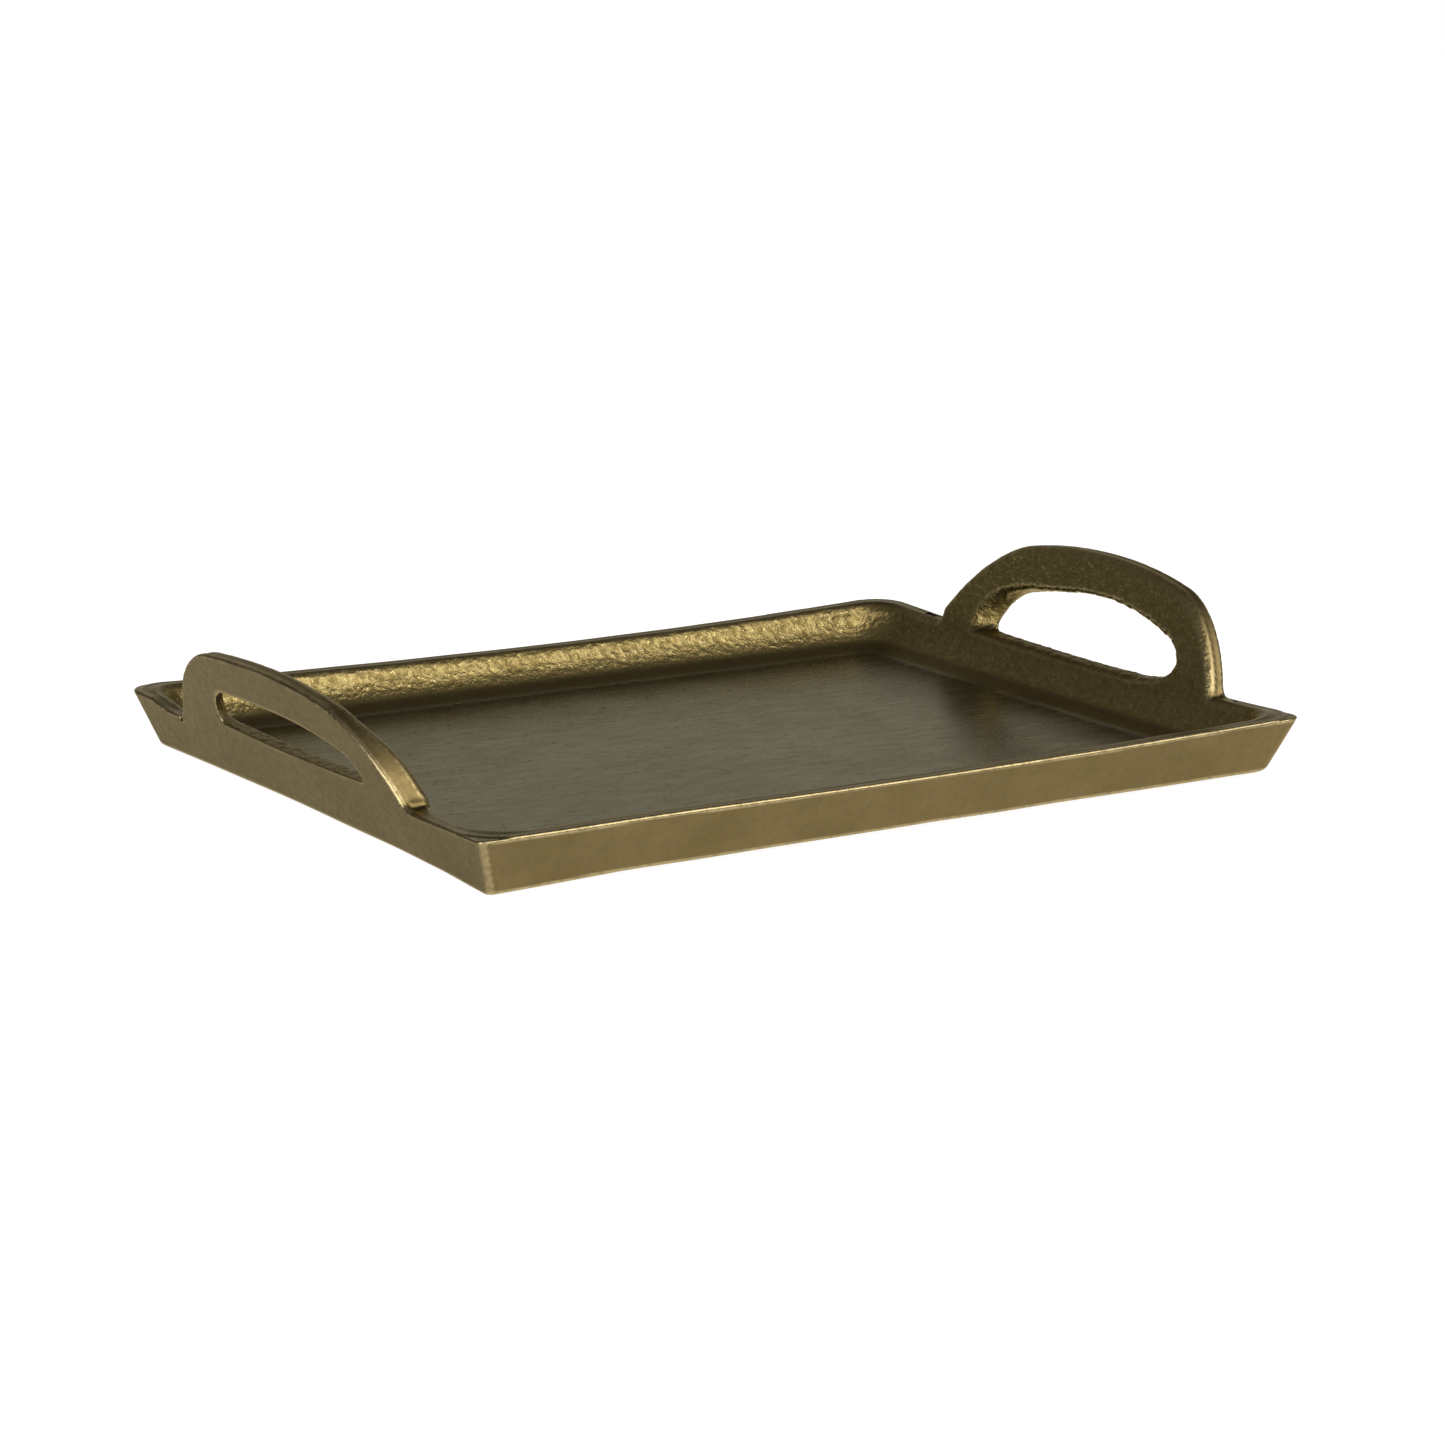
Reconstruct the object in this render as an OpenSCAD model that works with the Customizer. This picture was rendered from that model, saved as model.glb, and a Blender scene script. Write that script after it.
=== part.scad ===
// Cast brass serving tray: a shallow pan with leaning walls, an arched handle
// standing on each end of the rim, and four thin pads under the base.
// The length runs along X, the width along Y, and the tray stands on Z = 0.

/* [Pan] */
// Length of the rim from end to end
rim_l = 320; // [260:1:380]
// Width of the rim from front to back
rim_w = 238; // [190:1:280]
// Height of the walls from the base to the rim
wall_h = 18.5; // [17:0.5:30]
// How far each wall leans out between the base and the rim
wall_lean = 7; // [4:0.5:12]
// Width of the flat land along the rim
rim_land = 7.5; // [5:0.5:9]
// Thickness of the floor
floor_t = 4; // [3:0.5:6]
// Radius of the pan's outer corners, seen from above
corner_r = 5; // [3:0.5:12]
// Bevel around the edge of the base
base_bevel = 1; // [0.5:0.1:2]

/* [Well] */
// Radius of the cove where the inner walls meet the floor
cove_r = 12; // [6:0.5:14]
// Radius of the well's corners, seen from above
well_corner_r = 12; // [8:0.5:18]

/* [Handles] */
// Width of a handle where it stands on the rim
foot_span = 152; // [145:1:175]
// Height of a handle above the rim
handle_rise = 32; // [28:0.5:40]
// Thickness of a handle, square to its leaning face
handle_t = 7; // [6:0.5:9]
// Width of the finger opening
grip_w = 104; // [90:1:108]
// Height of the finger opening above the rim
grip_rise = 19; // [16:0.5:20]

/* [Pads] */
// Thickness of a foot pad
pad_h = 1.5; // [1:0.25:3]
// Diameter of a foot pad
pad_d = 14; // [10:1:20]
// Distance from the base's edges to the middle of a pad
pad_inset = 18; // [14:1:30]

/* [Hidden] */

cast_brass = "#a08a4e";
felt = "#2b2621";

base_z = pad_h;
rim_z = base_z + wall_h;
floor_z = base_z + floor_t;
lean_angle = atan(wall_lean / wall_h);

// The inner wall keeps the outer wall's lean down to the top of the cove
cove_turn = 90 - lean_angle;
cove_rise = cove_r * (1 - cos(cove_turn));
cove_run = cove_r * sin(cove_turn);
straight_run = (wall_h - floor_t - cove_rise) * tan(lean_angle);
cove_steps = 8;

// The handle and its finger opening are both arches: straight legs, rounded
// shoulders and a slightly crowned top. Each shoulder's corner lies this far
// below the crown, and the corner that the crown rounds lies this far above it.
shoulder_drop = 4.5;
crown_over = 2.1;
leg_slant = 21;
shoulder_r = 32;
grip_slant = 1.5;
grip_shoulder_r = 13;

// Thickness of the flat slices that the pan's hulls are stretched between
slice = 0.01;
// Spare length that makes a cutter run past what it cuts
spare = 1;

// Where each pad goes, as signs along X and Y
PAD_PLACES = [
    ["foot_pad_front_left", -1, -1],
    ["foot_pad_front_right", 1, -1],
    ["foot_pad_back_left", -1, 1],
    ["foot_pad_back_right", 1, 1]
];

function turned(p, angle) = [
    p.x * cos(angle) - p.y * sin(angle),
    p.x * sin(angle) + p.y * cos(angle)
];

// Points of the arc of radius r that rounds the corner at b between a and c
function rounded_corner(a, b, c, r, steps = 12) =
    let (
        to_a = (a - b) / norm(a - b),
        to_c = (c - b) / norm(c - b),
        half = acos(to_a * to_c) / 2,
        centre = b + (to_a + to_c) / norm(to_a + to_c) * r / sin(half),
        start = b + to_a * r / tan(half) - centre,
        turn = (180 - 2 * half) * sign(cross(start, -to_a))
    )
    [for (i = [0:steps]) centre + turned(start, turn * i / steps)];

// An arch of the given rise, symmetric about Y = 0, with legs that start at
// foot_half and lean in by slant
function arch(foot_half, foot_z, slant, shoulder_radius, rise) =
    let (
        foot = [foot_half, foot_z],
        shoulder = [foot_half - slant, rise - shoulder_drop],
        peak = [0, rise + crown_over],
        fall = atan((peak.y - shoulder.y) / shoulder.x),
        crown_r = crown_over / (1 / cos(fall) - 1),
        left_foot = [-foot.x, foot.y],
        left_shoulder = [-shoulder.x, shoulder.y]
    )
    concat(
        [foot],
        rounded_corner(foot, shoulder, peak, shoulder_radius),
        rounded_corner(shoulder, peak, left_shoulder, crown_r, 16),
        rounded_corner(peak, left_shoulder, left_foot, shoulder_radius),
        [left_foot]
    );

// Four thin discs at height z, the corners of a slice of the pan for a hull
module corner_discs(length, width, radius, z) {
    for (x = [-1, 1], y = [-1, 1])
        translate([x * (length / 2 - radius), y * (width / 2 - radius), z])
            cylinder(h = slice, r = radius, $fn = 32);
}

// The pan's outside, solid
module pan_outside() {
    base_l = rim_l - 2 * wall_lean;
    base_w = rim_w - 2 * wall_lean;
    bevel_lean = base_bevel * tan(lean_angle);
    hull() {
        corner_discs(base_l - 2 * base_bevel, base_w - 2 * base_bevel, corner_r, base_z);
        corner_discs(
            base_l + 2 * bevel_lean, base_w + 2 * bevel_lean, corner_r, base_z + base_bevel
        );
        corner_discs(rim_l, rim_w, corner_r, rim_z - slice);
    }
}

// The space inside the walls, from the floor to just above the rim
module well() {
    well_l = rim_l - 2 * rim_land;
    well_w = rim_w - 2 * rim_land;
    above = spare * tan(lean_angle);
    hull() {
        for (i = [0:cove_steps]) {
            turn = cove_turn * i / cove_steps;
            inset = straight_run + cove_run - cove_r * sin(turn);
            corner_discs(
                well_l - 2 * inset, well_w - 2 * inset, well_corner_r,
                floor_z + cove_r * (1 - cos(turn))
            );
        }
        corner_discs(well_l + 2 * above, well_w + 2 * above, well_corner_r, rim_z + spare);
    }
}

// Floor and four leaning walls, in one piece
module tray_pan() {
    color(cast_brass)
        difference() {
            pan_outside();
            well();
        }
}

// A handle seen from its end of the tray, with the rim along Y = 0
module handle_profile() {
    difference() {
        polygon(arch(foot_span / 2, 0, leg_slant, shoulder_r, handle_rise));
        polygon(arch(grip_w / 2, -spare, grip_slant, grip_shoulder_r, grip_rise));
    }
}

// The slab between a handle's two faces, its outer face in the end wall's plane
module leaning_slab() {
    slab_h = 2 * (wall_h + handle_rise);
    translate([rim_l / 2 - wall_lean, 0, base_z])
        rotate([0, lean_angle, 0])
            translate([-handle_t, -rim_w / 2, 0])
                cube([handle_t, rim_w, slab_h]);
}

// An arch leaning out in line with the end wall, standing on the rim
module right_handle() {
    run_x = 2 * handle_t + handle_rise;
    intersection() {
        translate([rim_l / 2 - run_x / 2, 0, rim_z])
            rotate([90, 0, 90])
                linear_extrude(run_x)
                    handle_profile();
        leaning_slab();
    }
}

module handle_right() {
    color(cast_brass) right_handle();
}

module handle_left() {
    color(cast_brass) mirror([1, 0, 0]) right_handle();
}

// A thin round pad stuck under one corner of the base
module foot_pad(side_x, side_y) {
    pad_x = rim_l / 2 - wall_lean - pad_inset;
    pad_y = rim_w / 2 - wall_lean - pad_inset;
    color(felt)
        translate([side_x * pad_x, side_y * pad_y, 0])
            cylinder(h = pad_h, d = pad_d, $fn = 64);
}

tray_pan();
handle_left();
handle_right();
for (place = PAD_PLACES)
    foot_pad(place[1], place[2]);
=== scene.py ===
"""Cast brass serving tray: the looks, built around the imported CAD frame."""

import math
from types import SimpleNamespace

import bmesh
import bpy
import numpy as np
from mathutils import Matrix, Vector


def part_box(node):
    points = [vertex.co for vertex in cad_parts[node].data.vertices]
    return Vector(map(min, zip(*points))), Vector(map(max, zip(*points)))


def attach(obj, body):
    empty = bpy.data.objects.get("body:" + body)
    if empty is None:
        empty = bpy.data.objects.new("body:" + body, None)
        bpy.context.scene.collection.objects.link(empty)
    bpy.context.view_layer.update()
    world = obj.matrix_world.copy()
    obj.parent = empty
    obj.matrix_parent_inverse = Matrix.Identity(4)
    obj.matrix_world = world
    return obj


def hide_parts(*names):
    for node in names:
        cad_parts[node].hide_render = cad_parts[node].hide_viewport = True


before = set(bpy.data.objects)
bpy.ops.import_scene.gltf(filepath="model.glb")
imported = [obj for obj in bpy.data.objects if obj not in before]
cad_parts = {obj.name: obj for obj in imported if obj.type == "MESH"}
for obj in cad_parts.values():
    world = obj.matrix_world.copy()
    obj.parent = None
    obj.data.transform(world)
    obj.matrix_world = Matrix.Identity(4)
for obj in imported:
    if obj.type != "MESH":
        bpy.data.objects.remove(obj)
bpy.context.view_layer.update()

MM = 0.001
SEED = 41


# ---------------------------------------------------------------- sizes, mm

pan_low, pan_high = [np.array(corner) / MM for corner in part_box("tray_pan")]
handle_low, handle_high = [np.array(corner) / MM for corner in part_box("handle_right")]

BASE_Z = pan_low[2]
RIM_Z = pan_high[2]
HALF_L = pan_high[0]
HALF_W = pan_high[1]
SLOPE = (handle_high[0] - pan_high[0]) / (handle_high[2] - pan_high[2])
COS_LEAN = math.cos(math.atan(SLOPE))
LAND = HALF_L - handle_low[0]
FLOOR_T = 4.0
FLOOR_Z = BASE_Z + FLOOR_T

# The rim is highest at the corners and sags between them. Both left corners
# droop, and the rim is filed down behind the left handle.
CORNER_LIFT = 1.9
SAG = {"front": 2.1, "back": 3.1, "left": 1.5, "right": 2.4}
BASE_ARCH = {"ends": 2.5, "sides": 0.6}
DROOP = {"front_left": 1.4, "back_left": 0.4}
# Where the droop starts and where it is full, as shares of half the size
RIM_DROOP_ALONG = (0.5, 1)
RIM_DROOP_ACROSS = (0.2, 0.8)
BASE_DROOP_ALONG = (0.65, 1)
BASE_DROOP_ACROSS = (0.7, 0.95)
FILED_RIM = 2.0
FILED_UP_TO_Y = (84, 100)

CORNER_R = {"front_left": 2.5, "front_right": 6.5, "back_left": 10.0, "back_right": 9.5}
WELL_CORNER_R = 13.0
COVE_R = 12.0
EDGE_R = 1.2
BASE_EDGE_R = 1.4
GRIP_EDGE_R = 2.4
GRIP_EDGE_DEPTH = (1, 4)
GRIP_FLARE = 1.2
GRIP_FLARE_START = (20, 45)
INNER_EDGE_R = 3.0
FOOT_FILLET = 3.5
HEEL_DEPTH = 2.5
HEEL_EDGE_R = 1.5
HEEL_SWELL = 3.0
HEEL_SWELL_START = (48, 68)
HEEL_SWELL_END = (74, 84)
HEEL_SWELL_RISE = (RIM_Z - 6, RIM_Z + 1)
RIM_CROWN = 1.9
CROWN_CORNER_R = 14.0

# Each handle is an arch with a finger opening. A leg runs from the foot to the
# shoulder, both as (distance from the arch's middle, height above the base),
# and the crown rises from the shoulders to the top. The lip is the lower edge
# of the opening. The middles lie a little off the tray's centre line.
HANDLES = {
    "left": {
        "outer": {
            "front": ((76.0, 14.0), (57.5, 41.5)),
            "back": ((80.5, 14.0), (57.5, 44.5)),
            "top": 48.5,
            "blend": 14.0,
        },
        "middle": -2.0,
        "heels": (-74.0, 76.0),
        "grip": {
            "front": ((56.5, 18.0), (59.5, 26.0)),
            "back": ((38.0, 18.0), (47.0, 32.5)),
            "top": 34.0,
            "blend": 15.0,
        },
        "grip_middle": 2.0,
        "lip": 21.0,
        "lip_rise": 1.0,
        "lip_corner_r": 1.5,
    },
    "right": {
        "outer": {
            "front": ((79.5, 17.5), (72.0, 42.5)),
            "back": ((78.5, 17.5), (67.0, 45.0)),
            "top": 55.0,
            "blend": 24.0,
        },
        "middle": 0.0,
        "heels": (-79.0, 75.5),
        "grip": {
            "front": ((40.0, 18.0), (58.5, 24.5)),
            "back": ((58.0, 18.0), (59.0, 28.5)),
            "top": 40.5,
            "blend": 15.5,
        },
        "grip_middle": -8.0,
        "lip": 18.0,
        "lip_rise": 0.8,
        "lip_corner_r": 4.0,
    },
}

# A handle lies within this depth of its end and this far from the centre line
HANDLE_ZONE_X = 24.0
HANDLE_ZONE_Y = 88.0
# How far in from the rim's ends the finger openings may cut
GRIP_RUN = 30.0

# Small flaws of the casting: a pit or nick at each place, and its radius
NICKS = [
    ((-HALF_L + 0.8, 77.5, RIM_Z - 2.4), 1.6),
    ((-113.0, -HALF_W - 0.2, RIM_Z + 0.2), 0.9),
    ((-HALF_L - 0.1, 67.0, RIM_Z - 1.2), 0.8),
]
NICK_EDGE_R = 0.4


# ------------------------------------------------- the casting as a distance

def smooth_step(value, low, high):
    """0 below low, 1 above high and smooth between them."""
    t = np.clip((value - low) / (high - low), 0, 1)
    return t * t * (3 - 2 * t)


def rounded_and(a, b, radius):
    """Distance to what two shapes share, with the edge between them rounded."""
    outside = np.hypot(np.maximum(a + radius, 0), np.maximum(b + radius, 0))
    return np.minimum(np.maximum(a, b), -radius) + outside


def rounded_or(a, b, radius):
    """Distance to two shapes together, with a fillet between them."""
    return -rounded_and(-a, -b, radius)


def leaning_walls(x, y, z, inset, corner_radius):
    """Inside of the four walls' planes, moved inwards by inset."""
    spread = (z - RIM_Z) * SLOPE - inset
    end = (np.abs(x) - HALF_L - spread) * COS_LEAN
    side = (np.abs(y) - HALF_W - spread) * COS_LEAN
    return rounded_and(end, side, corner_radius)


def rim_height(x, y):
    """Height of the rim, sagging between the corners."""
    u = np.clip(x / HALF_L, -1, 1)
    v = np.clip(y / HALF_W, -1, 1)
    along = (1 - u * u) * (SAG["front"] * (1 - v) + SAG["back"] * (1 + v)) / 2
    across = (1 - v * v) * (SAG["left"] * (1 - u) + SAG["right"] * (1 + u)) / 2
    towards_corner = smooth_step(-u, *RIM_DROOP_ALONG)
    towards_corner = towards_corner * smooth_step(np.abs(v), *RIM_DROOP_ACROSS)
    droop = np.where(v < 0, DROOP["front_left"], DROOP["back_left"]) * towards_corner
    filed = FILED_RIM * (x < 0) * (y > 0) * (1 - smooth_step(y, *FILED_UP_TO_Y))
    return RIM_Z + CORNER_LIFT - along - across - droop - filed


def base_height(x, y):
    """Height of the underside, which arches up a little along its edges."""
    u = np.clip(x / HALF_L, -1, 1)
    v = np.clip(y / HALF_W, -1, 1)
    ends = BASE_ARCH["ends"] * (1 - v * v) * u ** 8
    sides = BASE_ARCH["sides"] * (1 - u * u) * v ** 8
    near_corner = smooth_step(-u, *BASE_DROOP_ALONG) * smooth_step(-v, *BASE_DROOP_ACROSS)
    return BASE_Z + ends + sides - DROOP["front_left"] * near_corner


def arch(y, z, front, back, top, blend):
    """Inside of two leaning legs under a round crown, for heights above the base."""
    def half(across, foot, shoulder):
        """Inside of one leg and its side of the crown."""
        rise = shoulder[1] - foot[1]
        run = foot[0] - shoulder[0]
        outwards = (across - shoulder[0]) * rise + (z - shoulder[1]) * run
        leg = outwards / math.hypot(rise, run)
        drop = top - shoulder[1]
        crown_r = (shoulder[0] ** 2 + drop ** 2) / (2 * drop)
        crown = np.hypot(across, z - top + crown_r) - crown_r
        return rounded_and(leg, crown, blend)
    return np.where(y < 0, half(-y, *front), half(y, *back))


def by_side(x, shape):
    """Value of a shape of each handle, on the half of the tray where it stands."""
    return np.where(x < 0, shape(HANDLES["left"]), shape(HANDLES["right"]))


def handle_arch(x, y, z):
    """Inside of the handles' outlines, run along the tray."""
    return by_side(x, lambda h: arch(y - h["middle"], z - BASE_Z, **h["outer"]))


def end_depth(x, z):
    """Distance inwards from the outer faces of the end walls and handles."""
    return (HALF_L + (z - RIM_Z) * SLOPE - np.abs(x)) * COS_LEAN


def grip_opening(x, y, z):
    """Inside of the finger openings, whose back ends flare out towards the well."""
    flare = GRIP_FLARE * np.clip(end_depth(x, z), 0, LAND)

    def shape(h):
        """Inside of one handle's opening, above its lip."""
        across = y - h["grip_middle"]
        across = across - flare * smooth_step(across, *GRIP_FLARE_START)
        up = z - BASE_Z
        lip = h["lip"] + h["lip_rise"] * (across / 50) ** 2
        return rounded_and(arch(across, up, **h["grip"]), lip - up, h["lip_corner_r"])
    return by_side(x, shape)


def heel_limit(x, y):
    """Distance past the blunt ends of the handles' feet."""
    return by_side(x, lambda h: np.maximum(h["heels"][0] - y, y - h["heels"][1]))


def top_surface(x, y, z, depth):
    """Below the rim and the handles, at a depth inside the outer walls.

    The rim and the handles' outer edges are crowned. Each foot flows into the
    rim at the outer face and ends in a blunt heel behind it.
    """
    rim = z - rim_height(x, y)
    handle = handle_arch(x, y, z)
    heel = rounded_and(handle, heel_limit(x, y), HEEL_EDGE_R)
    blunt = rounded_or(rim, heel, HEEL_EDGE_R)
    flowing = rounded_or(rim, handle, FOOT_FILLET)
    flowing = rounded_and(flowing, depth - HEEL_DEPTH, HEEL_EDGE_R)
    crown = RIM_CROWN * (1 - np.clip(depth / LAND, 0, 1)) ** 2
    return rounded_or(blunt, flowing, HEEL_EDGE_R) + crown


def corner_radius(x, y):
    """Radius of the outer corner in each quarter of the tray."""
    front = np.where(x < 0, CORNER_R["front_left"], CORNER_R["front_right"])
    back = np.where(x < 0, CORNER_R["back_left"], CORNER_R["back_right"])
    return np.where(y < 0, front, back)


def well(x, y, z):
    """Inside of the space between the walls, open at the top, with a cove.

    The left handle swells inwards above its front foot.
    """
    swell = smooth_step(-y, *HEEL_SWELL_START) * (1 - smooth_step(-y, *HEEL_SWELL_END))
    swell = HEEL_SWELL * (x < 0) * swell * smooth_step(z, *HEEL_SWELL_RISE)
    walls = leaning_walls(x, y, z, LAND, WELL_CORNER_R) + swell
    return rounded_and(walls, FLOOR_Z - z, COVE_R)


def casting(x, y, z):
    """Distance to the tray's metal: pan and handles in one piece."""
    walls = leaning_walls(x, y, z, 0, corner_radius(x, y))
    depth = -leaning_walls(x, y, z, 0, CROWN_CORNER_R)
    outside = rounded_and(walls, base_height(x, y) - z, BASE_EDGE_R)
    outside = rounded_and(outside, top_surface(x, y, z, depth), EDGE_R)
    body = rounded_and(outside, -well(x, y, z), INNER_EDGE_R)
    grip = np.maximum(grip_opening(x, y, z), HALF_L - GRIP_RUN - np.abs(x))
    grip_edge = EDGE_R + (GRIP_EDGE_R - EDGE_R) * smooth_step(depth, *GRIP_EDGE_DEPTH)
    solid = rounded_and(body, -grip, grip_edge)
    for (nick_x, nick_y, nick_z), radius in NICKS:
        nick = np.sqrt((x - nick_x) ** 2 + (y - nick_y) ** 2 + (z - nick_z) ** 2) - radius
        solid = rounded_and(solid, -nick, NICK_EDGE_R)
    return solid


# ------------------------------------------------------------ as-cast bumps

# Shortest and longest wave of a field, as shares of its wavelength
WAVE_SPREAD = (0.8, 1.3)
# How many standard deviations of a field count as its height
WAVE_HEIGHT = 1.6


def random_waves(wavelength, count, seed):
    """Directions and phases of plane waves whose sum is an even, bumpy field."""
    rng = np.random.default_rng(seed)
    direction = rng.normal(size=(count, 3))
    direction /= np.linalg.norm(direction, axis=1)[:, None]
    length = wavelength * rng.uniform(*WAVE_SPREAD, count)
    return direction * (2 * math.pi / length)[:, None], rng.uniform(0, 2 * math.pi, count)


def wave_sum(x, y, z, waves):
    """Value of the field at each point, mostly between -1 and 1."""
    vectors, phases = waves
    total = np.zeros_like(x)
    for vector, phase in zip(vectors, phases):
        total += np.cos(x * vector[0] + y * vector[1] + z * vector[2] + phase)
    return total * math.sqrt(2 / len(phases)) / WAVE_HEIGHT


COARSE = random_waves(4.6, 36, SEED)
FINE = random_waves(2.6, 36, SEED + 1)
BROAD = random_waves(45, 16, SEED + 2)
COARSE_HEIGHT = 0.06
FINE_HEIGHT = 0.05
BROAD_HEIGHT = 0.10
# How much rougher the openings are than the well's walls
GRIP_ROUGHNESS = 1.8

# Where masks fade out: distances from a surface, and heights
WELL_FADE = (0.4, 2.5)
GRIP_FADE = (0.4, 2.0)
GRIP_OUTER_FADE = (0.3, 1.3)
GRIP_INNER_FADE = (LAND + 8, LAND + 12)
ROUGH_FROM = (FLOOR_Z + 2, FLOOR_Z + 4.5)
COVE_TO = (FLOOR_Z + 2, FLOOR_Z + 4)
FLOOR_TO = (FLOOR_Z + 0.2, FLOOR_Z + 0.9)
TOPS_FROM = (RIM_Z - 7, RIM_Z - 6)
RIM_TO = (RIM_Z + 3, RIM_Z + 6)

# How level a surface has to be for a mask, as the upward part of its normal
LEVEL_FLOOR = (0.95, 0.995)
LEVEL_RIM = (0.80, 0.97)
LEVEL_TOP = (0.75, 0.95)
LEVEL_LIP = (0.3, 0.8)
# How squarely a face has to look to the left to get the painted shade of the left end
FACING_LEFT = (0.5, 0.9)

# How sharply an edge has to curve to be rubbed bright and given a painted highlight, in 1/mm
WORN_CURVATURE = (0.12, 0.55)
# How dull the top of the rim is, next to the well's floor
RIM_DULLNESS = 0.8


def grip_mask(x, y, z):
    """1 on the sides of the finger openings."""
    depth = end_depth(x, z)
    through = smooth_step(depth, *GRIP_OUTER_FADE) * (1 - smooth_step(depth, *GRIP_INNER_FADE))
    return through * (1 - smooth_step(np.abs(grip_opening(x, y, z)), *GRIP_FADE))


def well_mask(x, y, z):
    """1 on the well's walls and floor."""
    return 1 - smooth_step(np.abs(well(x, y, z)), *WELL_FADE)


def rough_mask(x, y, z):
    """1 on the surfaces left as cast: the well's walls and the finger openings."""
    above_cove = smooth_step(z, *ROUGH_FROM)
    return np.maximum(well_mask(x, y, z) * above_cove, GRIP_ROUGHNESS * grip_mask(x, y, z))


def metal(x, y, z):
    """The casting with its bumps: as cast inside, hand finished elsewhere."""
    bumps = COARSE_HEIGHT * wave_sum(x, y, z, COARSE) + FINE_HEIGHT * wave_sum(x, y, z, FINE)
    ripple = BROAD_HEIGHT * wave_sum(x, y, z, BROAD)
    return casting(x, y, z) - rough_mask(x, y, z) * bumps - ripple


def gradient(distance, points, step=0.05):
    """Slope of a distance function at each point."""
    slope = np.empty_like(points)
    for axis in range(3):
        shift = np.zeros(3)
        shift[axis] = step
        ahead = distance(*(points + shift).T)
        behind = distance(*(points - shift).T)
        slope[:, axis] = (ahead - behind) / (2 * step)
    return slope


# ------------------------------------------------------------------ meshing

# Grid spacings, fine along the edges and handles and coarse between them
FINE_XY = 0.9
COARSE_X = 1.5
COARSE_Y = 1.15
FINE_Z = 0.7
COARSE_Z = 1.0

# Limits that keep points steady while they are moved onto the surface
LEAST_SLOPE_SQUARED = 0.2
LONGEST_MOVE = 1.5


def grid_lines(stops):
    """Grid positions that run between stops of (position, spacing to the next)."""
    lines = []
    for (start, spacing), (end, _) in zip(stops, stops[1:]):
        lines.append(np.linspace(start, end, max(2, round((end - start) / spacing)), endpoint=False))
    return np.concatenate(lines + [[stops[-1][0]]])


def crossed_cells(inside):
    """Cells of the grid that the surface passes through, and their indices."""
    count = np.zeros(tuple(n - 1 for n in inside.shape), np.int8)
    for i in (0, 1):
        for j in (0, 1):
            for k in (0, 1):
                count += inside[i:i - 1 or None, j:j - 1 or None, k:k - 1 or None]
    cells = np.argwhere((count > 0) & (count < 8))
    index = np.full(count.shape, -1, np.int64)
    index[tuple(cells.T)] = np.arange(len(cells))
    return cells, index


def cell_vertices(lines, values, cells):
    """One vertex in each cell, the mean of where the surface cuts its edges."""
    total = np.zeros((len(cells), 3))
    hits = np.zeros(len(cells))
    for axis in range(3):
        others = [a for a in range(3) if a != axis]
        for p in (0, 1):
            for q in (0, 1):
                start = cells.copy()
                start[:, others[0]] += p
                start[:, others[1]] += q
                end = start.copy()
                end[:, axis] += 1
                low = values[tuple(start.T)]
                high = values[tuple(end.T)]
                crossed = (low < 0) != (high < 0)
                share = np.where(crossed, low / np.where(crossed, low - high, 1), 0)
                point = np.stack([lines[a][start[:, a]] for a in range(3)], 1)
                point[:, axis] += share * (lines[axis][end[:, axis]] - point[:, axis])
                total += point * crossed[:, None]
                hits += crossed
    return total / hits[:, None]


def crossing_quads(inside, index):
    """A quad around each grid edge that the surface cuts, facing outwards."""
    quads = []
    for axis in range(3):
        b = (axis + 1) % 3
        c = (axis + 2) % 3
        ahead = [slice(None)] * 3
        ahead[axis] = slice(1, None)
        here = [slice(None)] * 3
        here[axis] = slice(None, -1)
        starts = np.argwhere(inside[tuple(here)] != inside[tuple(ahead)])
        keep = (starts[:, b] > 0) & (starts[:, c] > 0)
        starts = starts[keep]
        leaves = inside[tuple(starts.T)]
        ring = []
        for db, dc in ((0, 0), (1, 0), (1, 1), (0, 1)):
            cell = starts.copy()
            cell[:, b] -= db
            cell[:, c] -= dc
            ring.append(index[tuple(cell.T)])
        ring = np.stack(ring, 1)
        ring[~leaves] = ring[~leaves][:, ::-1]
        quads.append(ring)
    return np.concatenate(quads)


def surface_net(lines, values):
    """Vertices and quads of the surface where the grid's values pass through 0."""
    inside = values < 0
    cells, index = crossed_cells(inside)
    return cell_vertices(lines, values, cells), crossing_quads(inside, index)


def project(points, distance, passes=3):
    """Points moved onto the surface where the distance is 0."""
    for _ in range(passes):
        slope = gradient(distance, points)
        value = distance(*points.T)
        steepness = np.maximum((slope ** 2).sum(1), LEAST_SLOPE_SQUARED)
        move = np.clip(value / steepness, -LONGEST_MOVE, LONGEST_MOVE)
        points = points - slope * move[:, None]
    return points


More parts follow.
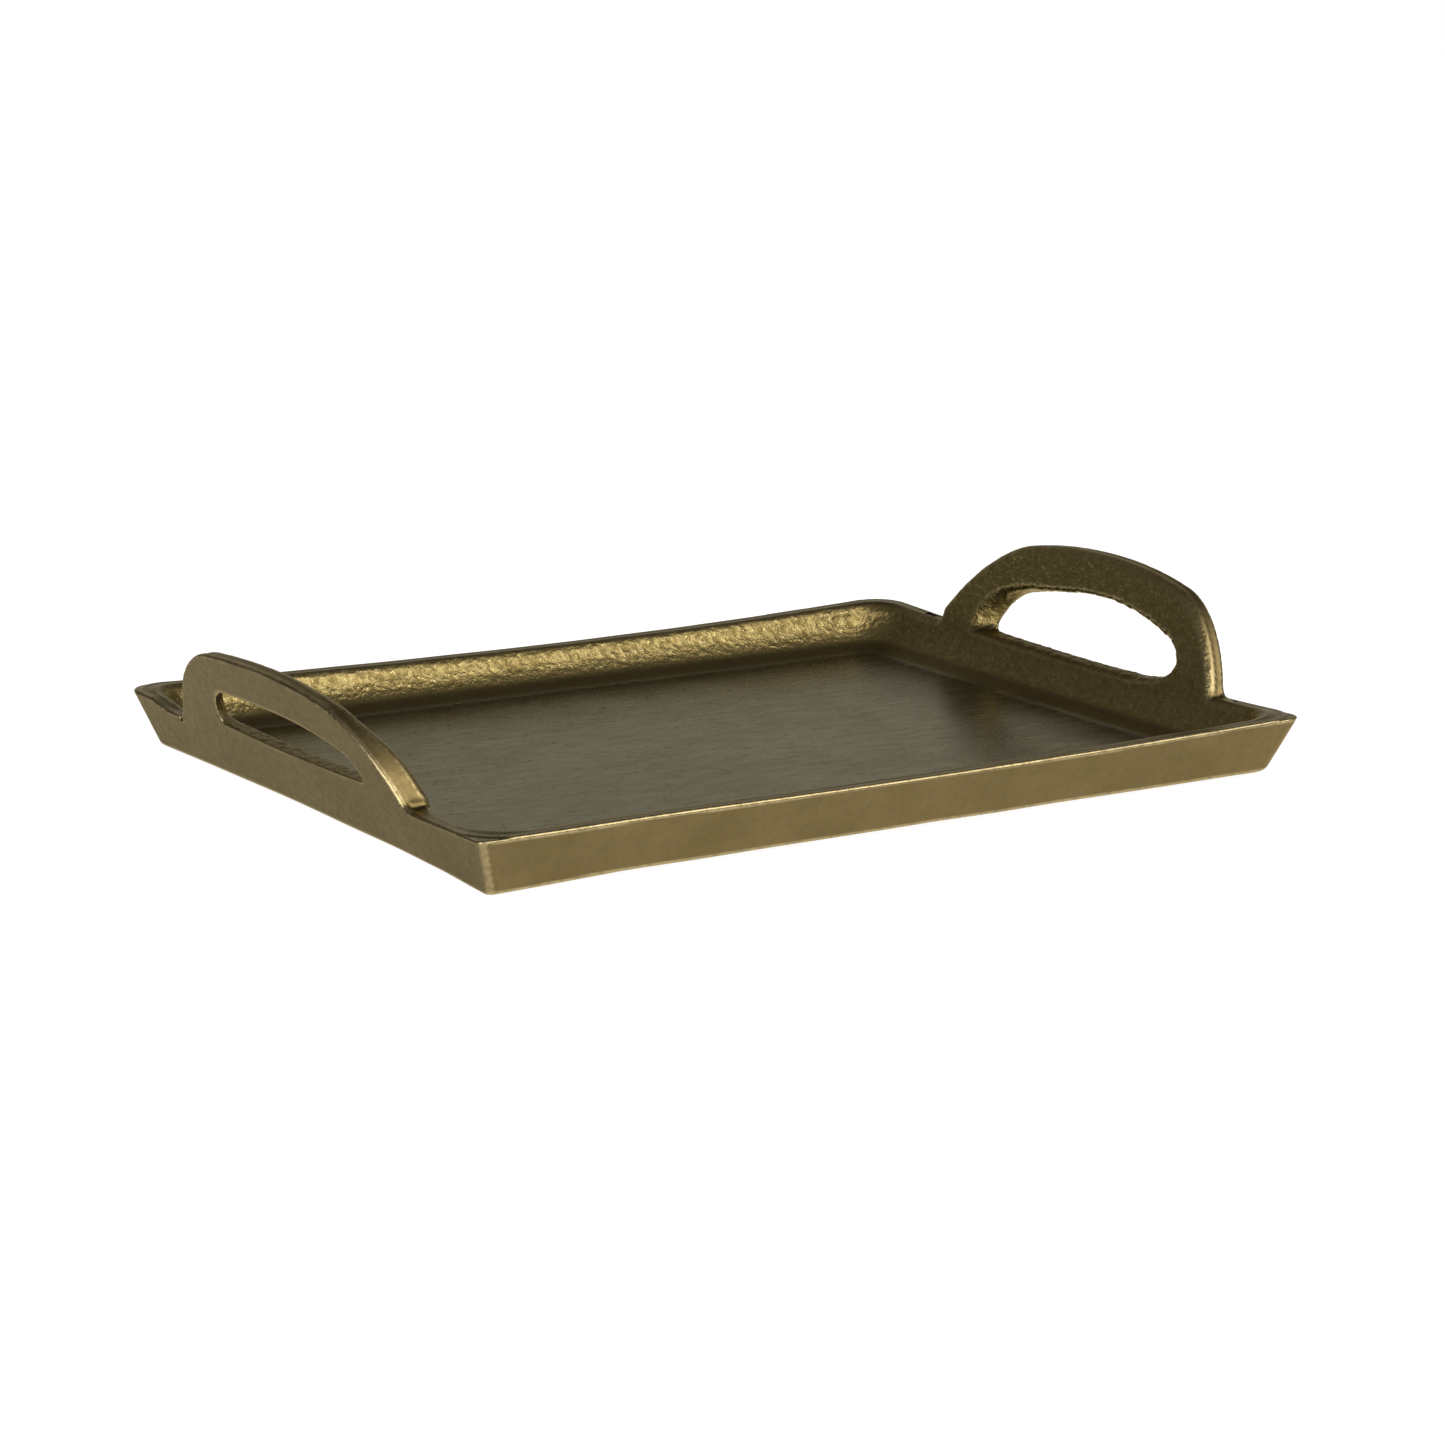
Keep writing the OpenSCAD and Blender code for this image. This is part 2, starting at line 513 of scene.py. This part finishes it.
def casting_mesh():
    """Vertices, quads and normals of the whole casting, in millimetres."""
    reach_x = max(handle_high[0], -pan_low[0]) + 6
    reach_y = HALF_W + 4
    end_x = HALF_L - HANDLE_ZONE_X
    side_y = HALF_W - HANDLE_ZONE_X
    xs = grid_lines([(-reach_x, FINE_XY), (-end_x, COARSE_X), (end_x, FINE_XY), (reach_x, 0)])
    ys = grid_lines([(-reach_y, FINE_XY), (-side_y, COARSE_Y), (side_y, FINE_XY), (reach_y, 0)])
    zs = grid_lines([
        (BASE_Z - 2, FINE_Z),
        (FLOOR_Z + 2, COARSE_Z),
        (RIM_Z - 6, FINE_Z),
        (RIM_Z + 3, COARSE_Z),
        (handle_high[2] + 9, 0),
    ])
    values = casting(xs[:, None, None], ys[None, :, None], zs[None, None, :])
    vertices, quads = surface_net((xs, ys, zs), values)
    vertices = project(vertices, metal)
    normals = gradient(metal, vertices)
    normals /= np.linalg.norm(normals, axis=1)[:, None]
    return vertices, quads, normals


def edge_wear_and_highlight(points, step=0.25):
    """1 along the convex edges, which handling has rubbed bright and which also carry a painted
    highlight, 0 elsewhere.
    """
    spread = np.zeros(len(points))
    for axis in range(3):
        shift = np.zeros(3)
        shift[axis] = step
        for sign in (1, -1):
            slope = gradient(casting, points + sign * shift)
            spread += sign * slope[:, axis] / np.linalg.norm(slope, axis=1)
    curvature = spread / (2 * step)
    return smooth_step(curvature, *WORN_CURVATURE) * (1 - grip_mask(*points.T))


def dull_mask(points, normals):
    """1 on the grey patina of the well's floor, less on the top of the rim."""
    up = normals[:, 2]
    height = points[:, 2]
    floor = (1 - smooth_step(height, *FLOOR_TO)) * (height > BASE_Z + FLOOR_T / 2)
    floor = floor * smooth_step(up, *LEVEL_FLOOR)
    rim = smooth_step(height, *TOPS_FROM) * (1 - smooth_step(height, *RIM_TO))
    rim = rim * smooth_step(up, *LEVEL_RIM)
    return np.maximum(floor, RIM_DULLNESS * rim) * (1 - np.minimum(rough_mask(*points.T), 1))


def grime_mask(points, normals):
    """1 where shade is painted into the colour: the cove, the openings' lips and the tops."""
    x, y, z = points.T
    up = normals[:, 2]
    low = (1 - smooth_step(z, *COVE_TO)) * (1 - smooth_step(up, *LEVEL_FLOOR))
    cove = well_mask(x, y, z) * low
    lip = grip_mask(x, y, z) * smooth_step(up, *LEVEL_LIP)
    top = smooth_step(z, *TOPS_FROM) * smooth_step(up, *LEVEL_TOP)
    return np.maximum(np.maximum(cove, lip), top)


def tarnish_mask(points, normals):
    """1 on the outer faces of the left end that look to the left, which get a darker, browner
    painted shade; 0 elsewhere.
    """
    on_left_end = points[:, 0] < -HALF_L + HANDLE_ZONE_X / 2
    return smooth_step(-normals[:, 0], *FACING_LEFT) * on_left_end


# ------------------------------------------------------------------- pieces

def fill_masks(mesh, masks):
    """Stores each mask on the mesh, for the brass material to read."""
    for name, values in masks.items():
        layer = mesh.attributes.new(name, "FLOAT", "POINT")
        layer.data.foreach_set("value", values.astype(np.float32))


def whole_casting():
    """The whole casting as one mesh, with its masks and its shading normals."""
    vertices, quads, normals = casting_mesh()
    mesh = bpy.data.meshes.new("casting")
    mesh.from_pydata((vertices * MM).tolist(), [], quads.tolist())
    fill_masks(mesh, {
        "as_cast": np.minimum(rough_mask(*vertices.T), 1),
        "dull": dull_mask(vertices, normals),
        # painted shade in the cove, on the lips and on the tops
        "grime": grime_mask(vertices, normals),
        # painted shade on the left end's outer faces
        "tarnish": tarnish_mask(vertices, normals),
        # edge wear with a painted highlight
        "edge_wear_and_highlight": edge_wear_and_highlight(vertices),
    })
    layer = mesh.attributes.new("shading", "FLOAT_VECTOR", "POINT")
    layer.data.foreach_set("vector", normals.astype(np.float32).ravel())
    return mesh


def in_handle(point):
    """True where a point of the casting is in the zone of one of the handles."""
    return abs(point.x) > (HALF_L - HANDLE_ZONE_X) * MM and abs(point.y) < HANDLE_ZONE_Y * MM


def cut_piece(whole, name, belongs):
    """One piece of the casting: the faces that belong, closed at the cut."""
    piece = whole.copy()
    unwanted = [f for f in piece.faces if not belongs(f.calc_center_median())]
    bmesh.ops.delete(piece, geom=unwanted, context="FACES")
    rims = [e for e in piece.edges if e.is_boundary]
    bmesh.ops.holes_fill(piece, edges=rims, sides=0)
    for face in piece.faces:
        face.smooth = True
    mesh = bpy.data.meshes.new(name)
    piece.to_mesh(mesh)
    piece.free()
    shading = np.empty(len(mesh.vertices) * 3, np.float32)
    mesh.attributes["shading"].data.foreach_get("vector", shading)
    mesh.attributes.remove(mesh.attributes["shading"])
    mesh.normals_split_custom_set_from_vertices(shading.reshape(-1, 3))
    return mesh


def add_piece(name, mesh, material, node):
    """A visible piece that rides on the root body and stands for a CAD node."""
    piece = bpy.data.objects.new(name, mesh)
    bpy.context.scene.collection.objects.link(piece)
    mesh.materials.append(material)
    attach(piece, "root")
    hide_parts(node)
    return piece


# Faces whose middles are further than this from the cut aren't crossed by it
CUT_REACH = 3.0


def split_handles(whole, cut):
    """Cuts the handles' faces along the plane at height cut."""
    def crosses(face):
        """True for a handle's face that the cut may pass through."""
        middle = face.calc_center_median()
        return in_handle(middle) and abs(middle.z - cut) < CUT_REACH * MM

    near_cut = [face for face in whole.faces if crosses(face)]
    parts = set(near_cut)
    for face in near_cut:
        parts.update(face.edges)
        parts.update(face.verts)
    bmesh.ops.bisect_plane(whole, geom=list(parts), plane_co=(0, 0, cut), plane_no=(0, 0, 1))


def build_casting(material):
    """The pan and both handles, cut apart at the rim's plane as the CAD is."""
    whole = bmesh.new()
    whole.from_mesh(whole_casting())
    cut = RIM_Z * MM
    split_handles(whole, cut)

    def above(point):
        """True for what stands above the cut, which is the handles."""
        return in_handle(point) and point.z > cut

    pieces = {
        "tray_pan": lambda p: not above(p),
        "handle_left": lambda p: above(p) and p.x < 0,
        "handle_right": lambda p: above(p) and p.x > 0,
    }
    for node, belongs in pieces.items():
        mesh = cut_piece(whole, "cast_" + node, belongs)
        add_piece("cast_" + node, mesh, material, node)
    whole.free()


PAD_SIDES = 64
PAD_EDGE_R = 0.35
# How uneven a pad's rim is, as a share of its radius
PAD_FUZZ = 0.006
# How far a pad is let into the base
PAD_INTO_BASE = 0.3


def pad_profile(radius, height):
    """Half of a pad's section, from its underside's middle round to its top's."""
    bevel = PAD_EDGE_R * MM
    profile = [(0.0, 0.0), (0.5 * radius, 0.0), (radius - bevel, 0.0)]
    profile += [
        (radius - bevel + bevel * math.sin(a), bevel - bevel * math.cos(a))
        for a in np.linspace(0, math.pi / 2, 5)[1:]
    ]
    return profile + [(radius, height), (0.5 * radius, height), (0.0, height)]


def pad_ring(pad, centre, radius, z):
    """Vertices around a pad at one height, slightly uneven as cut felt is."""
    ring = []
    for i in range(1 if radius == 0 else PAD_SIDES):
        turn = 2 * math.pi * i / PAD_SIDES
        fuzz = 1 + PAD_FUZZ * math.sin(13 * turn) * math.sin(7 * turn + 1)
        across = radius * fuzz * math.cos(turn)
        along = radius * fuzz * math.sin(turn)
        ring.append(pad.verts.new((centre.x + across, centre.y + along, z)))
    return ring


def build_pad(node, material):
    """A round felt pad with a soft rounded rim, let slightly into the base."""
    low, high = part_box(node)
    centre = (low + high) / 2
    radius = (high.x - low.x) / 2
    height = high.z - low.z + PAD_INTO_BASE * MM
    pad = bmesh.new()
    rings = [pad_ring(pad, centre, r, low.z + z) for r, z in pad_profile(radius, height)]
    for lower, upper in zip(rings, rings[1:]):
        for i in range(PAD_SIDES):
            j = (i + 1) % PAD_SIDES
            corners = [lower[i % len(lower)], lower[j % len(lower)],
                       upper[j % len(upper)], upper[i % len(upper)]]
            pad.faces.new(list(dict.fromkeys(corners)))
    bmesh.ops.recalc_face_normals(pad, faces=pad.faces)
    for face in pad.faces:
        face.smooth = True
    mesh = bpy.data.meshes.new("felt_" + node)
    pad.to_mesh(mesh)
    pad.free()
    add_piece("felt_" + node, mesh, material, node)


# ---------------------------------------------------------------- materials

class Nodes:
    """A material's node tree, with short ways to add the nodes used here."""

    def __init__(self, name):
        self.material = bpy.data.materials.new(name)
        self.material.use_nodes = True
        self.tree = self.material.node_tree
        self.shader = self.tree.nodes["Principled BSDF"]
        self.place = self.add("ShaderNodeTexCoord").outputs["Object"]

    def add(self, kind, **values):
        """A new node, with its properties set."""
        node = self.tree.nodes.new(kind)
        for key, value in values.items():
            setattr(node, key, value)
        return node

    def join(self, source, target):
        """Links an output to an input, or sets the input to a plain value."""
        if isinstance(source, bpy.types.NodeSocket):
            self.tree.links.new(source, target)
        else:
            target.default_value = source

    def mask(self, name):
        """A mask stored on the mesh."""
        return self.add("ShaderNodeAttribute", attribute_name=name).outputs["Fac"]

    def noise(self, scale, detail=3.0, roughness=0.5, stretch=(1, 1, 1)):
        """Noise with features about 1 / scale metres apart."""
        mapping = self.add("ShaderNodeMapping")
        self.join(self.place, mapping.inputs["Vector"])
        mapping.inputs["Scale"].default_value = stretch
        node = self.add("ShaderNodeTexNoise")
        self.join(mapping.outputs["Vector"], node.inputs["Vector"])
        node.inputs["Scale"].default_value = scale
        node.inputs["Detail"].default_value = detail
        node.inputs["Roughness"].default_value = roughness
        return node.outputs["Fac"]

    def fit(self, value, low, high, to_low=0.0, to_high=1.0):
        """Maps low..high smoothly to to_low..to_high."""
        node = self.add("ShaderNodeMapRange", interpolation_type="SMOOTHSTEP")
        self.join(value, node.inputs["Value"])
        node.inputs["From Min"].default_value = low
        node.inputs["From Max"].default_value = high
        node.inputs["To Min"].default_value = to_low
        node.inputs["To Max"].default_value = to_high
        return node.outputs["Result"]

    def times(self, a, b):
        """The product of two numbers."""
        node = self.add("ShaderNodeMath", operation="MULTIPLY")
        self.join(a, node.inputs[0])
        self.join(b, node.inputs[1])
        return node.outputs["Value"]

    def mix(self, share, a, b):
        """Mixes two colours."""
        node = self.add("ShaderNodeMix", data_type="RGBA")
        self.join(share, node.inputs["Factor"])
        self.join(a, node.inputs[6])
        self.join(b, node.inputs[7])
        return node.outputs[2]

    def blend(self, share, a, b):
        """Mixes two numbers."""
        node = self.add("ShaderNodeMix", data_type="FLOAT")
        self.join(share, node.inputs[0])
        self.join(a, node.inputs[2])
        self.join(b, node.inputs[3])
        return node.outputs[0]

    def bump(self, height, distance, below=None):
        """A normal bent by a height that spans distance, on top of another."""
        node = self.add("ShaderNodeBump")
        node.inputs["Strength"].default_value = 1.0
        self.join(distance, node.inputs["Distance"])
        self.join(height, node.inputs["Height"])
        if below is not None:
            self.join(below, node.inputs["Normal"])
        return node.outputs["Normal"]


def colour(red, green, blue):
    """A colour as the sockets take it, with full alpha."""
    return (red, green, blue, 1.0)


# Colours of the brass. A pair is the dark and the light end of a mottled colour.
SATIN = (colour(0.137, 0.101, 0.041), colour(0.164, 0.122, 0.053))
SATIN_GRAIN = colour(0.11, 0.08, 0.032)
# Painted shade on the outer faces of the left end that look to the left
PAINTED_LEFT_SHADE = colour(0.068, 0.054, 0.032)
ROUGH = (colour(0.170, 0.126, 0.045), colour(0.230, 0.178, 0.072))
PATINA = (colour(0.126, 0.141, 0.124), colour(0.160, 0.177, 0.155))
PATINA_STREAK = colour(0.110, 0.104, 0.078)
PATINA_PORE = colour(0.040, 0.034, 0.022)
GLINT = colour(0.55, 0.44, 0.22)
# Painted shade in the cove, on the openings' lips and on the tops
PAINTED_SHADE = colour(0.060, 0.045, 0.020)
# Rubbed edges: real wear, brightened further as a painted highlight
RUBBED_AND_HIGHLIGHT = colour(0.60, 0.49, 0.27)
GRAZING_TINT = colour(0.95, 0.85, 0.65)


def brass_textures(n):
    """The masks and noises that the brass is mixed from."""
    t = SimpleNamespace()
    t.as_cast = n.mask("as_cast")
    t.dull = n.mask("dull")
    # Painted shade in the cove, on the lips and on the tops
    t.grime = n.mask("grime")
    # Painted shade on the left end's outer faces
    t.tarnish = n.mask("tarnish")
    t.mottle = n.noise(38, 4, 0.6)
    t.grain = n.noise(420, 3, 0.6)
    t.speckle = n.noise(1300, 2, 0.5)
    t.pits = n.noise(430, 2, 0.5)
    t.crumbs = n.noise(850, 2, 0.6)
    t.streaks = n.noise(240, 3, 0.6, stretch=(0.3, 1.4, 1))
    t.pores = n.noise(640, 1, 0.5, stretch=(0.6, 1, 1))
    t.glints = n.times(t.as_cast, n.fit(t.crumbs, 0.62, 0.70))
    # Rubbed edges with a painted highlight, weaker on the painted shade of the left faces
    rubbed = n.times(n.mask("edge_wear_and_highlight"), n.fit(t.grain, 0.30, 0.60, 0.20, 0.50))
    t.rubbed = n.times(rubbed, n.fit(t.tarnish, 0.0, 1.0, 1.0, 0.3))
    return t


def brass_colour(n, t):
    """Satin outside, rough inside, with patina, glints, painted shade in the cove, on the lips, on
    the tops and on the left faces, and rubbed edges that carry a painted highlight.
    """
    satin = n.mix(n.fit(t.mottle, 0.32, 0.68), *SATIN)
    satin = n.mix(n.fit(t.grain, 0.35, 0.75, 0.0, 0.20), satin, SATIN_GRAIN)
    # Painted shade on the left end's outer faces
    satin = n.mix(n.times(t.tarnish, 0.85), satin, PAINTED_LEFT_SHADE)
    rough = n.mix(n.fit(t.pits, 0.34, 0.62), *ROUGH)
    patina = n.mix(n.fit(t.mottle, 0.3, 0.7), *PATINA)
    patina = n.mix(n.fit(t.streaks, 0.38, 0.66, 0.0, 0.18), patina, PATINA_STREAK)
    patina = n.mix(n.fit(t.pores, 0.62, 0.69, 0.0, 0.75), patina, PATINA_PORE)
    base = n.mix(t.as_cast, satin, rough)
    base = n.mix(n.times(t.glints, 0.6), base, GLINT)
    base = n.mix(t.dull, base, patina)
    # Painted shade in the cove, on the lips and on the tops
    base = n.mix(n.times(t.grime, 0.65), base, PAINTED_SHADE)
    # Rubbed edges: wear and painted highlight
    return n.mix(t.rubbed, base, RUBBED_AND_HIGHLIGHT)


def brass_roughness(n, t):
    """Satin outside, smoother on the patina, the glints and the rubbed edges with their painted
    highlight.
    """
    roughness = n.fit(t.grain, 0.3, 0.7, 0.36, 0.46)
    roughness = n.blend(t.as_cast, roughness, n.fit(t.pits, 0.35, 0.65, 0.46, 0.34))
    roughness = n.blend(t.dull, roughness, n.fit(t.streaks, 0.3, 0.7, 0.22, 0.30))
    roughness = n.blend(t.glints, roughness, 0.28)
    return n.blend(t.rubbed, roughness, 0.20)


def brass_relief(n, t):
    """Fine grain all over, pits and crumbs as cast, and a brushed floor."""
    fine = n.bump(t.grain, 0.00002)
    cast = n.bump(t.pits, n.times(t.as_cast, 0.0003), fine)
    cast = n.bump(t.crumbs, n.times(t.as_cast, 0.00025), cast)
    brushed = n.bump(t.streaks, n.times(t.dull, 0.00004), cast)
    return n.bump(t.speckle, 0.000015, brushed)


def cast_brass():
    """Satin brass: rough golden walls, a grey patina on the floor, painted shade, and bright edges
    that are partly wear and partly painted highlight.
    """
    n = Nodes("cast_brass")
    t = brass_textures(n)
    n.join(brass_colour(n, t), n.shader.inputs["Base Color"])
    n.join(brass_roughness(n, t), n.shader.inputs["Roughness"])
    n.join(brass_relief(n, t), n.shader.inputs["Normal"])
    n.shader.inputs["Metallic"].default_value = 1.0
    n.shader.inputs["Specular Tint"].default_value = GRAZING_TINT
    return n.material


def felt():
    """Dark pressed felt."""
    n = Nodes("felt")
    fibres = n.noise(2200, 4, 0.7)
    tint = n.mix(n.fit(fibres, 0.3, 0.7), colour(0.018, 0.015, 0.012), colour(0.06, 0.052, 0.045))
    n.join(tint, n.shader.inputs["Base Color"])
    n.join(n.fit(fibres, 0.3, 0.7, 0.85, 1.0), n.shader.inputs["Roughness"])
    n.join(n.bump(fibres, 0.0003), n.shader.inputs["Normal"])
    n.shader.inputs["Sheen Weight"].default_value = 0.4
    return n.material


# ------------------------------------------------------------------- studio

# The photograph's viewing angle, in degrees, and the camera's place, in mm
CAMERA_AZIMUTH = -34.1
CAMERA_ELEVATION = 12.95
CAMERA_ROLL = 1.0
CAMERA_EYE = (-708.5, -1054.0, 305.5)
CAMERA_LENS = 96.3
CAMERA_SENSOR = 36.0


def place_camera():
    """The camera, at the photograph's viewing angle."""
    azimuth = math.radians(CAMERA_AZIMUTH)
    elevation = math.radians(CAMERA_ELEVATION)
    roll = math.radians(CAMERA_ROLL)
    eye = Vector(CAMERA_EYE) * MM
    back = Vector((
        math.sin(azimuth) * math.cos(elevation),
        -math.cos(azimuth) * math.cos(elevation),
        math.sin(elevation),
    ))
    right = (-back).cross(Vector((0, 0, 1))).normalized()
    up = back.cross(right)
    turned_right = right * math.cos(roll) + up * math.sin(roll)
    turned_up = up * math.cos(roll) - right * math.sin(roll)
    axes = Matrix((turned_right, turned_up, back)).transposed()
    camera = bpy.data.objects.new("camera", bpy.data.cameras.new("camera"))
    camera.data.sensor_width = CAMERA_SENSOR
    camera.data.lens = CAMERA_LENS
    camera.matrix_world = Matrix.Translation(eye) @ axes.to_4x4()
    bpy.context.scene.collection.objects.link(camera)
    bpy.context.scene.camera = camera


# The lights face this point, in metres
TARGET = (0, 0, 0.02)


def add_light(name, place, size, power, tint=(1, 1, 1)):
    """A soft rectangular light of the given size in metres, facing the target."""
    light = bpy.data.lights.new(name, "AREA")
    light.shape = "RECTANGLE"
    light.size, light.size_y = size
    light.energy = power
    light.color = tint
    lamp = bpy.data.objects.new(name, light)
    lamp.location = place
    facing = Vector(TARGET) - Vector(place)
    lamp.rotation_euler = facing.to_track_quat("-Z", "Y").to_euler()
    bpy.context.scene.collection.objects.link(lamp)


FLOOR_REACH = 12.0
FLOOR_GREY = colour(0.35, 0.35, 0.35)
FLOOR_GLOW = 0.93
WHITE = colour(1, 1, 1)


def build_floor():
    """A pale floor, which glows enough to stay white in shadow."""
    ground = bmesh.new()
    signs = ((-1, -1), (1, -1), (1, 1), (-1, 1))
    corners = [ground.verts.new((x * FLOOR_REACH, y * FLOOR_REACH, 0)) for x, y in signs]
    ground.faces.new(corners)
    mesh = bpy.data.meshes.new("studio_floor")
    ground.to_mesh(mesh)
    ground.free()
    floor = bpy.data.objects.new("studio_floor", mesh)
    bpy.context.scene.collection.objects.link(floor)
    n = Nodes("studio_floor")
    n.shader.inputs["Base Color"].default_value = FLOOR_GREY
    n.shader.inputs["Roughness"].default_value = 0.9
    n.shader.inputs["Specular IOR Level"].default_value = 0.0
    n.shader.inputs["Emission Color"].default_value = WHITE
    n.shader.inputs["Emission Strength"].default_value = FLOOR_GLOW
    mesh.materials.append(n.material)


# Direction of the pale wall that the world's light comes from
PALE_WALL = (0.50, 0.85, 0.10)
# How far the wall's light reaches around, as cosines of the angle from it
WALL_SPREAD = (0.72, 0.95)
ROOM_LIGHT = 0.18
WALL_LIGHT = 0.46


def build_world():
    """White to look at; as light, a dim room with one pale wall behind, to the right."""
    world = bpy.data.worlds.new("studio")
    bpy.context.scene.world = world
    world.use_nodes = True
    tree = world.node_tree
    background = tree.nodes["Background"]
    direction = tree.nodes.new("ShaderNodeTexCoord").outputs["Generated"]
    towards = tree.nodes.new("ShaderNodeVectorMath")
    towards.operation = "DOT_PRODUCT"
    tree.links.new(direction, towards.inputs[0])
    towards.inputs[1].default_value = Vector(PALE_WALL).normalized()
    room = tree.nodes.new("ShaderNodeMapRange")
    room.interpolation_type = "SMOOTHSTEP"
    tree.links.new(towards.outputs["Value"], room.inputs["Value"])
    room.inputs["From Min"].default_value = WALL_SPREAD[0]
    room.inputs["From Max"].default_value = WALL_SPREAD[1]
    room.inputs["To Min"].default_value = ROOM_LIGHT
    room.inputs["To Max"].default_value = WALL_LIGHT
    rays = tree.nodes.new("ShaderNodeLightPath")
    mix = tree.nodes.new("ShaderNodeMix")
    mix.data_type = "RGBA"
    tree.links.new(rays.outputs["Is Camera Ray"], mix.inputs["Factor"])
    tree.links.new(room.outputs["Result"], mix.inputs[6])
    mix.inputs[7].default_value = WHITE
    tree.links.new(mix.outputs[2], background.inputs["Color"])


def build_studio():
    """A pale floor, a white background, a warm key light and a fill light."""
    build_floor()
    build_world()
    add_light("key", (0.52, -1.00, 1.02), size=(1.5, 1.0), power=19.5, tint=(1.0, 0.98, 0.93))
    add_light("fill", (-0.95, -0.80, 0.50), size=(1.0, 0.8), power=12.5)
    bpy.context.scene.view_settings.view_transform = "Standard"


place_camera()
build_casting(cast_brass())
pad_material = felt()
for pad_node in sorted(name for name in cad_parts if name.startswith("foot_pad")):
    build_pad(pad_node, pad_material)
build_studio()
